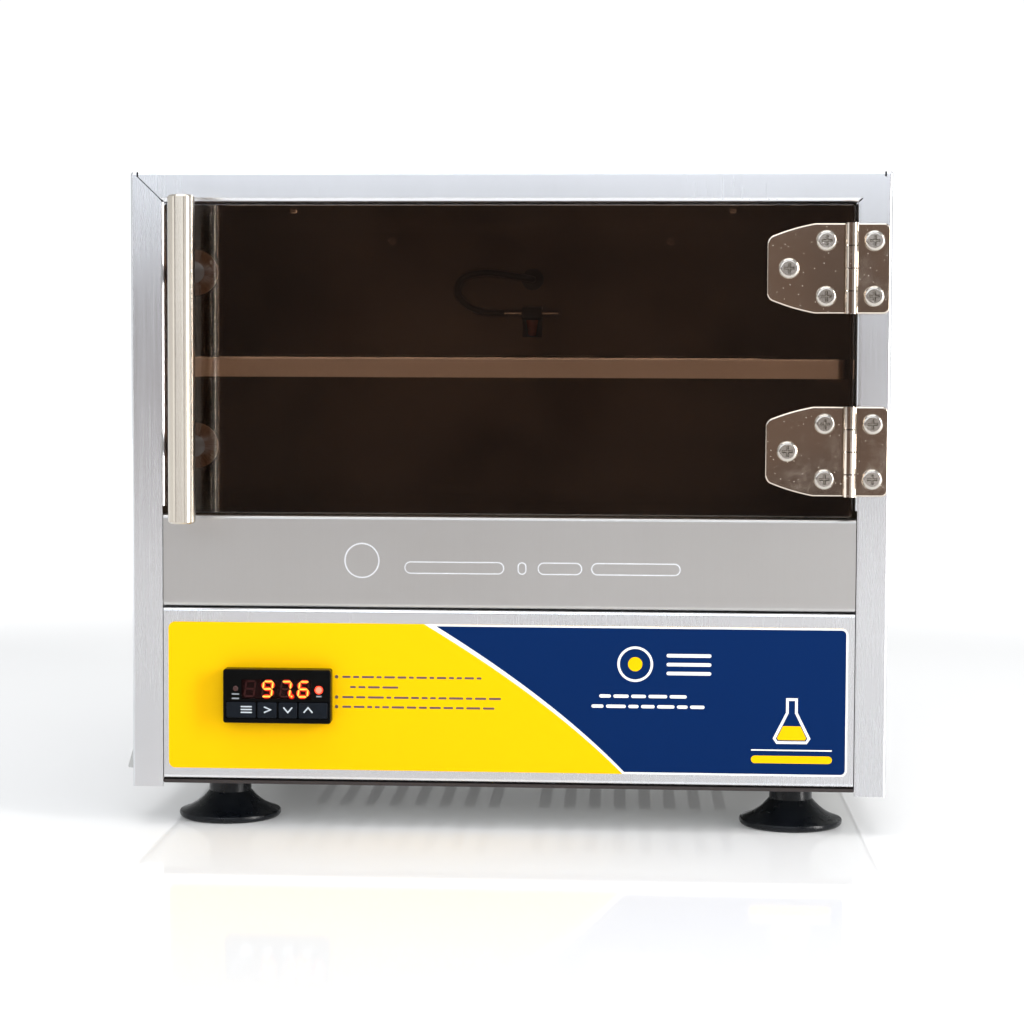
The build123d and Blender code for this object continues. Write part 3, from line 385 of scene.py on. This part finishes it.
FINISHES = {
    SHEET: ["outer_wrapper", "back_panel", "control_panel"],
    SHADED_LIP_SHEET: ["front_lip_panel"],
    SATIN: ["handle_bar"],
    SHADED_STANDOFF: ["handle_standoffs"],
    BRIGHTENED_WASHER: ["handle_washers"],
    SHADED_LINER: ["liner_left", "liner_right", "liner_ceiling", "liner_back", "plenum_pan",
            "chamber_floor", "element_brackets", "shelf_ledges"],
    SHELF: ["shelf"],
    POLISHED: ["hinge_door_leaf_upper", "hinge_door_leaf_lower", "hinge_frame_leaf_upper",
               "hinge_frame_leaf_lower"],
    PIN_STEEL: ["hinge_pins"],
    SCREW: ["hinge_door_screws", "hinge_frame_screws", "hinge_door_nuts", "handle_screws",
            "back_panel_screws", "base_screws", "foot_screws", "liner_screws", "clip_screw",
            "inlet_screws", "temperature_probe"],
    SEAL: ["door_gasket", "cable_grommet"],
    RUBBER: ["feet"],
    PAN: ["base_pan"],
    BLACK: ["controller_housing", "controller_clamp"],
    KEYPAD: ["set_key", "shift_key", "down_key", "up_key"],
    LENS: ["display_window"],
    DISPLAY_BACK: ["display_module"],
    FILM_YELLOW: ["graphic_overlay"],
    GLASS: ["door_glass"],
    PALE_PLASTIC: ["power_switch", "switch_rocker"],
    DARK_PLASTIC: ["power_inlet", "fuse_holder", "probe_clip", "heater_relay"],
    NYLON: ["terminal_block"],
    CABLE: ["probe_cable", "inner_wiring"],
    AMBER: ["limit_sensor"],
    PINS: ["inlet_pins"],
    BOARD: ["insulation"],
    SHEATH: ["heating_element"],
    LAMPS: ["status_leds"],
}
for finish, names in FINISHES.items():
    for name in names:
        nodes[name].data.materials.clear()
        nodes[name].data.materials.append(finish)


# ---- small mesh tools ----------------------------------------------------------------------
def spot(x, z, y=0.0):
    """A point given in cabinet millimetres: right of the middle, up, and behind the front."""
    return Vector((MIDDLE_X + x * MM, FRONT_Y + y * MM, z * MM))


def prism(mesh, outline, y_front, y_back):
    """Adds to a bmesh a closed plate: an outline of (x, z) millimetres between two depths."""
    front = [mesh.verts.new(spot(x, z, y_front)) for x, z in outline]
    back = [mesh.verts.new(spot(x, z, y_back)) for x, z in outline]
    mesh.faces.new(front)
    mesh.faces.new(reversed(back))
    for a in range(len(outline)):
        b = (a + 1) % len(outline)
        mesh.faces.new((front[b], front[a], back[a], back[b]))


def ring(mesh, outer, inner, y_front, y_back):
    """A closed plate with a hole: both outlines have the same number of points."""
    loops = [[mesh.verts.new(spot(x, z, y)) for x, z in line]
             for line, y in ((outer, y_front), (inner, y_front), (inner, y_back), (outer, y_back))]
    count = len(outer)
    for first, second in zip(loops, loops[1:] + loops[:1]):
        for a in range(count):
            b = (a + 1) % count
            mesh.faces.new((first[a], first[b], second[b], second[a]))


def arc(x, z, radius, start, end, steps=8):
    angles = [math.radians(start + (end - start) * i / steps) for i in range(steps + 1)]
    return [(x + radius * math.cos(a), z + radius * math.sin(a)) for a in angles]


def circle(x, z, radius, steps=32):
    return arc(x, z, radius, 0, 360, steps)[:-1]


def bar(x0, x1, z0, z1, radius=None):
    """A rounded bar's outline."""
    r = min(x1 - x0, z1 - z0) / 2 * 0.98 if radius is None else radius
    return (arc(x1 - r, z1 - r, r, 0, 90, 5) + arc(x0 + r, z1 - r, r, 90, 180, 5)
            + arc(x0 + r, z0 + r, r, 180, 270, 5) + arc(x1 - r, z0 + r, r, 270, 360, 5))


def stroke(points, width):
    """The outline of a line of even width through some points."""
    left, right = [], []
    for i, (x, z) in enumerate(points):
        x0, z0 = points[max(i - 1, 0)]
        x1, z1 = points[min(i + 1, len(points) - 1)]
        along = Vector((x1 - x0, z1 - z0)).normalized()
        reach = width / 2
        if 0 < i < len(points) - 1:
            before = Vector((x - x0, z - z0)).normalized()
            reach /= max(0.5, before.dot(along))
        left.append((x - along.y * reach, z + along.x * reach))
        right.append((x + along.y * reach, z - along.x * reach))
    return left + right[::-1]


def piece(name, finish, body, plates=(), rings=(), depths=(0.0, 1.0)):
    """A piece made of plates and pierced plates, riding on a body."""
    mesh = bmesh.new()
    for outline in plates:
        prism(mesh, outline, *depths)
    for outer, inner in rings:
        ring(mesh, outer, inner, *depths)
    bmesh.ops.recalc_face_normals(mesh, faces=mesh.faces)
    data = bpy.data.meshes.new(name)
    mesh.to_mesh(data)
    mesh.free()
    data.materials.append(finish)
    made = bpy.data.objects.new(name, data)
    scene.collection.objects.link(made)
    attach(made, body)
    return made


# ---- printed film --------------------------------------------------------------------------
FILM_RIGHT = (film_high.x - MIDDLE_X) / MM
FILM_LOW = film_low.z / MM
FILM_HIGH = film_high.z / MM
FILM_FRONT = (film_low.y - FRONT_Y) / MM
INK = (FILM_FRONT - 0.03, FILM_FRONT)
INK_OVER = (FILM_FRONT - 0.06, FILM_FRONT - 0.03)
CORNER = 3.0
BORDER = 0.9


def sweep_x(z):
    """Where the yellow ends at height z: a line that bends gently down to the right."""
    drop = FILM_HIGH - z
    return -37.0 + 1.684 * drop - 0.0051 * drop * drop


def field(left_gap, inset):
    """The part of the film to the right of the sweep, inset from its edges."""
    low, high, right = FILM_LOW + inset, FILM_HIGH - inset, FILM_RIGHT - inset
    radius = CORNER - inset
    heights = [low + (high - low) * i / 24 for i in range(25)]
    edge = [(sweep_x(z) + left_gap(z), z) for z in heights]
    return (edge + arc(right - radius, high - radius, radius, 90, 0)
            + arc(right - radius, low + radius, radius, 0, -90))


def stripe_width(z):
    return 1.6 + 2.4 * (z - FILM_LOW) / (FILM_HIGH - FILM_LOW)


piece("print_white_field", FILM_WHITE, "cabinet",
      [field(lambda z: 0.0, 0.0)], depths=INK)
piece("print_navy_field", FILM_NAVY, "cabinet",
      [field(stripe_width, BORDER)], depths=INK_OVER)


def word_bars(x0, x1, z, height, low=2.0, high=7.5, gap=1.1):
    """A line of plain bars that stands where a line of words would."""
    bars, x = [], x0
    while x < x1 - low:
        length = min(random.uniform(low, high), x1 - x)
        bars.append(bar(x, x + length, z - height / 2, z + height / 2))
        x += length + gap
    return bars


GUIDE_LINES = ((-74.0, -11.0, 69.2), (-70.5, -47.0, 64.6), (-74.0, -1.5, 60.0),
               (-74.0, -5.0, 55.6))
guide = [b for x0, x1, z in GUIDE_LINES for b in word_bars(x0, x1, z, 1.0)]
guide += [circle(-76.6, z, 0.8, 16) for z in (69.2, 60.0, 55.6)]
piece("print_guide_marks", FILM_GREY, "cabinet", guide, depths=INK)

INK_TOP = (FILM_FRONT - 0.09, FILM_FRONT - 0.06)
BADGE_X, BADGE_Z = 58.0, 76.5
captions = word_bars(42.0, 85.0, 62.0, 1.5, 4, 9) + word_bars(38.5, 92.0, 57.4, 1.5, 4, 9)
piece("print_white_badge", FILM_WHITE, "cabinet",
      captions + [bar(72, 92, z - 0.8, z + 0.8) for z in (80.5, 76.5, 72.5)],
      [(circle(BADGE_X, BADGE_Z, 8.0, 48), circle(BADGE_X, BADGE_Z, 6.9, 48))], depths=INK_TOP)
piece("print_badge_drop", FILM_YELLOW, "cabinet",
      [circle(BADGE_X, BADGE_Z, 3.2, 32)], depths=INK_TOP)

FLASK_X, FLASK_Z = 128.0, 47.0
flask_outer = [(-2.6, 15), (2.6, 15), (2.6, 8.5), (8.4, -3.2), (6.8, -5.6), (-6.8, -5.6),
               (-8.4, -3.2), (-2.6, 8.5)]
flask_inner = [(-1.4, 13.8), (1.4, 13.8), (1.4, 8.2), (7.0, -3.2), (6.2, -4.4), (-6.2, -4.4),
               (-7.0, -3.2), (-1.4, 8.2)]
flask_fill = [(-3.9, 2.4), (3.9, 2.4), (6.5, -3.0), (5.9, -3.9), (-5.9, -3.9), (-6.5, -3.0)]


def placed(outline, x, z):
    return [(x + a, z + b) for a, b in outline]


piece("print_flask_outline", FILM_WHITE, "cabinet",
      [bar(110, 146, 38.2, 38.8)],
      [(placed(flask_outer, FLASK_X, FLASK_Z), placed(flask_inner, FLASK_X, FLASK_Z))],
      depths=INK_TOP)
piece("print_flask_fill", FILM_YELLOW, "cabinet",
      [placed(flask_fill, FLASK_X, FLASK_Z), bar(110, 146, 32.6, 36.0)], depths=INK_TOP)

# ---- etched marks on the lip panel ---------------------------------------------------------
LIP_FRONT = (lip_low.y - FRONT_Y) / MM
ETCHED = (LIP_FRONT - 0.02, LIP_FRONT + 0.02)


def outlined(x0, x1, z0, z1, line=0.5):
    return (bar(x0, x1, z0, z1), bar(x0 + line, x1 - line, z0 + line, z1 - line))


etched_rings = [(circle(-65.2, 122.0, 8.0, 40), circle(-65.2, 122.0, 7.4, 40))]
etched_rings += [outlined(-46.0 + dx, -46.0 + dx + w, 116.2, 121.8)
                 for dx, w in ((0, 45), (51, 4), (60, 20), (84, 40))]
piece("etched_marks", ETCH, "cabinet", [], etched_rings, ETCHED)

# ---- mitre seams: an open joint at the left, closed but for its ends at the right; the dark strips are painted shadow in the joints ---
MITRE_IN = (155.2, 283.0)
MITRE_REACHES = ((-1, 166.7), (1, 156.8))
MITRE_LEAN = 0.957
SLIT_X, SLIT_LOW, SLIT_HIGH = 166.8, 294.0, 296.1

seams = []
for side, reach in MITRE_REACHES:
    x, z = MITRE_IN
    seams.append(stroke([(side * x, z), (side * reach, z + (reach - x) * MITRE_LEAN)], 0.4))
    seams.append(stroke([(side * SLIT_X, SLIT_LOW), (side * SLIT_X, SLIT_HIGH)], 0.8))
piece("mitre_seam_shadows", SEAM_SHADOW, "cabinet", seams, depths=(-0.02, 0.1))

# ---- controller face -----------------------------------------------------------------------
HOUSING_FRONT = (housing_low.y - FRONT_Y) / MM
module_front = (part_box("display_module")[0].y - FRONT_Y) / MM
SEGMENT = (module_front - 0.10, module_front)
SEGMENT_RIM = (module_front - 0.16, module_front - 0.10)
SEGMENT_CORE = (module_front - 0.22, module_front - 0.16)
DIGIT_X = (-115.2, -107.2, -99.0, -90.9)
DIGIT_Z = (window_low.z + window_high.z) / 2 / MM
DIGIT_W, DIGIT_H, SLANT = 4.2, 6.8, 0.14
SHAPES = {"a": ((0, 2), (1, 2)), "b": ((1, 2), (1, 1)), "c": ((1, 1), (1, 0)),
          "d": ((0, 0), (1, 0)), "e": ((0, 1), (0, 0)), "f": ((0, 2), (0, 1)),
          "g": ((0, 1), (1, 1))}
LIT = {0: "", 1: "abcdfg", 2: "abc", 3: "acdefg"}


def segment(digit, letter, width):
    """One bar of a seven-segment digit, pointed at both ends and leaning right."""
    ends = []
    for column, row in SHAPES[letter]:
        z = (row - 1) * DIGIT_H / 2
        ends.append(Vector((DIGIT_X[digit] + (column - 0.5) * DIGIT_W + z * SLANT, DIGIT_Z + z)))
    along = (ends[1] - ends[0]).normalized()
    side = Vector((-along.y, along.x)) * width / 2
    a, b = ends[0] + along * 0.22, ends[1] - along * 0.22
    tip = width / 2
    return [tuple(p) for p in (a, a + along * tip + side, b - along * tip + side, b,
                               b - along * tip - side, a + along * tip - side)]


lit = [(d, s) for d, letters in LIT.items() for s in letters]
dark = [(d, s) for d in LIT for s in SHAPES if (d, s) not in lit]
point_x, point_z = -96.3, DIGIT_Z - DIGIT_H / 2 + 0.1
for name, glowing, pairs, width, depths in (
        ("display_unlit_segments", GHOST, dark, 0.7, SEGMENT),
        ("display_halo", HALO, lit, 2.1, SEGMENT),
        ("display_lit_segments", LIT_RIM, lit, 1.45, SEGMENT_RIM),
        ("display_lit_cores", LIT_CORE, lit, 0.70, SEGMENT_CORE)):
    dots = [] if pairs is dark else [circle(point_x, point_z, width * 0.62, 20)]
    piece(name, glowing, "cabinet",
          [segment(d, s, width) for d, s in pairs] + dots, depths=depths)

MARK_Z, MARK_W = 54.9, 0.62


def chevron(x, z, turn, reach, spread):
    """An arrowhead that points right, turned by some degrees."""
    c, s = math.cos(math.radians(turn)), math.sin(math.radians(turn))
    return stroke([(x + a * c - b * s, z + a * s + b * c)
                   for a, b in ((-reach, spread), (reach, 0), (-reach, -spread))], MARK_W)


MARKS = {
    "shift_key": [chevron(-107.1, MARK_Z, 0, 1.5, 1.3)],
    "down_key": [chevron(-97.8, MARK_Z, -90, 1.15, 2.0)],
    "up_key": [chevron(-88.6, MARK_Z, 90, 1.15, 2.0)],
    "set_key": [bar(-119.2, -114.0, MARK_Z + dz - 0.3, MARK_Z + dz + 0.3)
                for dz in (-1.3, 0, 1.3)],
}
for key, plates in MARKS.items():
    face = (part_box(key)[0].y - FRONT_Y) / MM
    piece(key + "_mark", KEY_INK, key, plates, depths=(face - 0.02, face + 0.02))
piece("controller_captions", CAPTION_INK, "cabinet",
      [bar(-123.3, -119.9, 61.5, 62.1), bar(-123.3, -119.9, 59.5, 60.1),
       bar(-85.0, -82.6, 60.8, 61.4)],
      depths=(HOUSING_FRONT - 0.02, HOUSING_FRONT + 0.02))

lamps_low, lamps_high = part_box("status_leds")
LAMP_R = (lamps_high.z - lamps_low.z) / 2 / MM
LAMP_X, LAMP_Z = (lamps_high.x - MIDDLE_X) / MM - LAMP_R, lamps_low.z / MM + LAMP_R
piece("lamp_rim", LIT_RIM, "cabinet", [],
      [(circle(LAMP_X, LAMP_Z, LAMP_R + 0.15), circle(LAMP_X, LAMP_Z, LAMP_R - 0.25))],
      ((lamps_low.y - FRONT_Y) / MM - 0.03, HOUSING_FRONT))

# ---- room, light and camera ----------------------------------------------------------------
def stage_plane(name, size, location, rotation, finish):
    mesh = bmesh.new()
    bmesh.ops.create_grid(mesh, x_segments=1, y_segments=1, size=0.5)
    bmesh.ops.scale(mesh, vec=(size[0], size[1], 1), verts=mesh.verts)
    data = bpy.data.meshes.new(name)
    mesh.to_mesh(data)
    mesh.free()
    data.materials.append(finish)
    made = bpy.data.objects.new(name, data)
    scene.collection.objects.link(made)
    made.location = location
    made.rotation_euler = rotation
    return made


def floor_finish():
    """A glossy pale top, a little lit from below, that fades to plain white far away."""
    def varying(place, root):
        cloud = place.noise(1.4, 1.4, 1.4)
        far = root.node("ShaderNodeVectorMath", {"operation": "LENGTH"}, {0: place}, 1)
        return {"Base Color": cloud.mix(grey(0.80), grey(0.84)),
                "Roughness": 0.045 + cloud * 0.02,
                "Emission Color": far.above(1.1, 0.5).mix(grey(0.11), grey(1.2))}
    return material("pale_floor", {"Emission Strength": 1.0}, varying)


def room_view():
    """The brown dimness of a room, uneven on the scale of furniture."""
    def varying(place, root):
        shape = place.noise(5, 5, 4, detail=3, rough=0.55).above(0.44, 0.20)
        return {"Base Color": shape.mix(grey(0.01), grey(0.03)),
                "Emission Color": shape.mix((0.016, 0.006, 0.003, 1), (0.118, 0.056, 0.025, 1))}
    return material("room_card", {"Emission Strength": 1.0}, varying)


def card(name, x, z, finish, y=-1.75):
    """An upright panel behind the viewer, which shows only in reflections and bounced light."""
    made = stage_plane(name, (x[1] - x[0], z[1] - z[0]), (sum(x) / 2, y, sum(z) / 2),
                       (math.radians(90), 0, 0), finish)
    made.visible_camera = False
    made.visible_shadow = False


stage_plane("floor", (9, 9), (0, 0, 0), (0, 0, 0), floor_finish())
ROOM = room_view()
SKY = glow("sky_card", (0.86, 0.92, 1.0, 1), 0.80, (0.90, 0.95, 1.0, 1))
DIM = glow("dim_card", (0.04, 0.03, 0.03, 1), 1.0, (0.06, 0.05, 0.05, 1))
card("room_card", (-1.40, 0.44), (0.0, 0.40), ROOM)
card("sky_card", (-1.42, 0.62), (0.45, 1.50), SKY, -1.74)
card("left_gap", (-2.10, -1.42), (0.0, 1.5), DIM)
card("right_gap", (0.62, 1.02), (0.0, 1.5), DIM)

world = bpy.data.worlds.new("studio")
scene.world = world
world.use_nodes = True
world.node_tree.nodes.clear()
sky = Wire(world.node_tree)
seen = sky.node("ShaderNodeLightPath", {}, {}, "Is Camera Ray")
dome = sky.node("ShaderNodeBackground", {}, {"Color": (0.97, 0.985, 1.0, 1),
                                            "Strength": 0.64 + seen * 0.42})
dome_shown = world.node_tree.nodes.new("ShaderNodeOutputWorld")
world.node_tree.links.new(dome.socket, dome_shown.inputs["Surface"])


def softbox(name, location, target, size, watts, colour=(1, 1, 1)):
    data = bpy.data.lights.new(name, "AREA")
    data.shape = "RECTANGLE"
    data.size, data.size_y = size
    data.energy = watts
    data.color = colour
    lamp = bpy.data.objects.new(name, data)
    scene.collection.objects.link(lamp)
    lamp.location = location
    lamp.rotation_euler = (Vector(target) - Vector(location)).to_track_quat("-Z", "Y").to_euler()
    lamp.visible_camera = False


softbox("overhead", (0.0, -0.35, 1.7), (0, -0.05, 0.1), (1.6, 1.2), 16)
softbox("left_strip", (-1.5, -1.0, 0.9), (0, -0.1, 0.15), (0.5, 1.4), 2, (0.94, 0.97, 1.0))
softbox("right_strip", (1.6, -0.9, 0.6), (0, -0.1, 0.15), (0.4, 1.2), 30, (1.0, 0.98, 0.96))
softbox("back_fill", (0.0, 1.8, 1.2), (0, 0.1, 0.15), (1.6, 1.0), 10)

# the viewer stands a little right of the middle, above the door's centre
EYE = (54.05, -1089.66, 217.65)
YAW, PITCH, ROLL = 0.06307, 0.05476, 0.0035
LENS_LENGTH, SENSOR = 85.71, 36.0
camera_data = bpy.data.cameras.new("camera")
camera_data.lens = LENS_LENGTH
camera_data.sensor_width = SENSOR
camera_data.shift_x = 0.0372
camera_data.shift_y = -0.0294
camera_data.clip_start = 0.05
camera = bpy.data.objects.new("camera", camera_data)
scene.collection.objects.link(camera)
scene.camera = camera
forward = Vector((-math.sin(YAW) * math.cos(PITCH), math.cos(YAW) * math.cos(PITCH),
                  -math.sin(PITCH)))
level = Vector((math.cos(YAW), math.sin(YAW), 0))
upward = level.cross(forward)
right = level * math.cos(ROLL) + upward * math.sin(ROLL)
upward = right.cross(forward)
camera.matrix_world = Matrix.Translation(spot(EYE[0], EYE[2], EYE[1])) @ Matrix(
    (right, upward, -forward)).transposed().to_4x4()
scene.view_settings.view_transform = "Standard"
